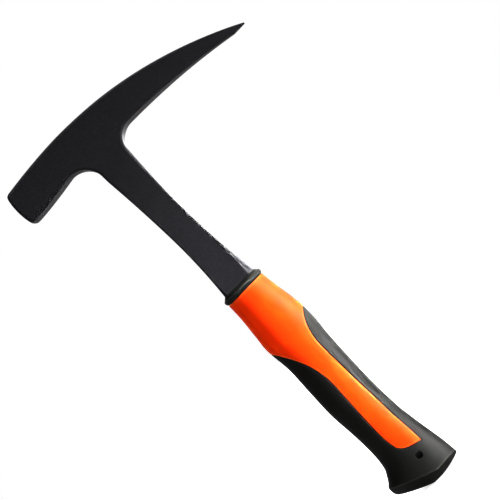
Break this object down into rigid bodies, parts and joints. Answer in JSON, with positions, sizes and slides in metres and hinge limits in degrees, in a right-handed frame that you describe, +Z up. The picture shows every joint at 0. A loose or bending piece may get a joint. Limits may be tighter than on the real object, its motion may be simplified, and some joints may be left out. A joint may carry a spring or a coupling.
{
  "type": "rock hammer",
  "caption": "Pointed-pick rock hammer: one-piece forged head, shank and tang in a two-material moulded grip with a lanyard hole.",
  "frame": {"origin": "centre of the bounding box in X and Y, at the lowest point of the butt, so the hammer stands head up on z = 0 as it is held", "axes": "+Z up the shank from the butt to the head, +X towards the point of the pick (the striking face looks along -X), Y through the thickness"},
  "size_m": [0.1639, 0.0246, 0.2833],
  "materials": {
    "black_coated_steel": "black powder coat, low sheen, fine texture",
    "orange_plastic": "satin moulded plastic",
    "black_rubber": "matte moulded soft rubber"
  },
  "bodies": {
    "root": {"hammer_forging": "black_coated_steel", "shank_collar": "black_rubber", "grip_core": "orange_plastic", "grip_overmould": "black_rubber"}
  },
  "joints": []
}
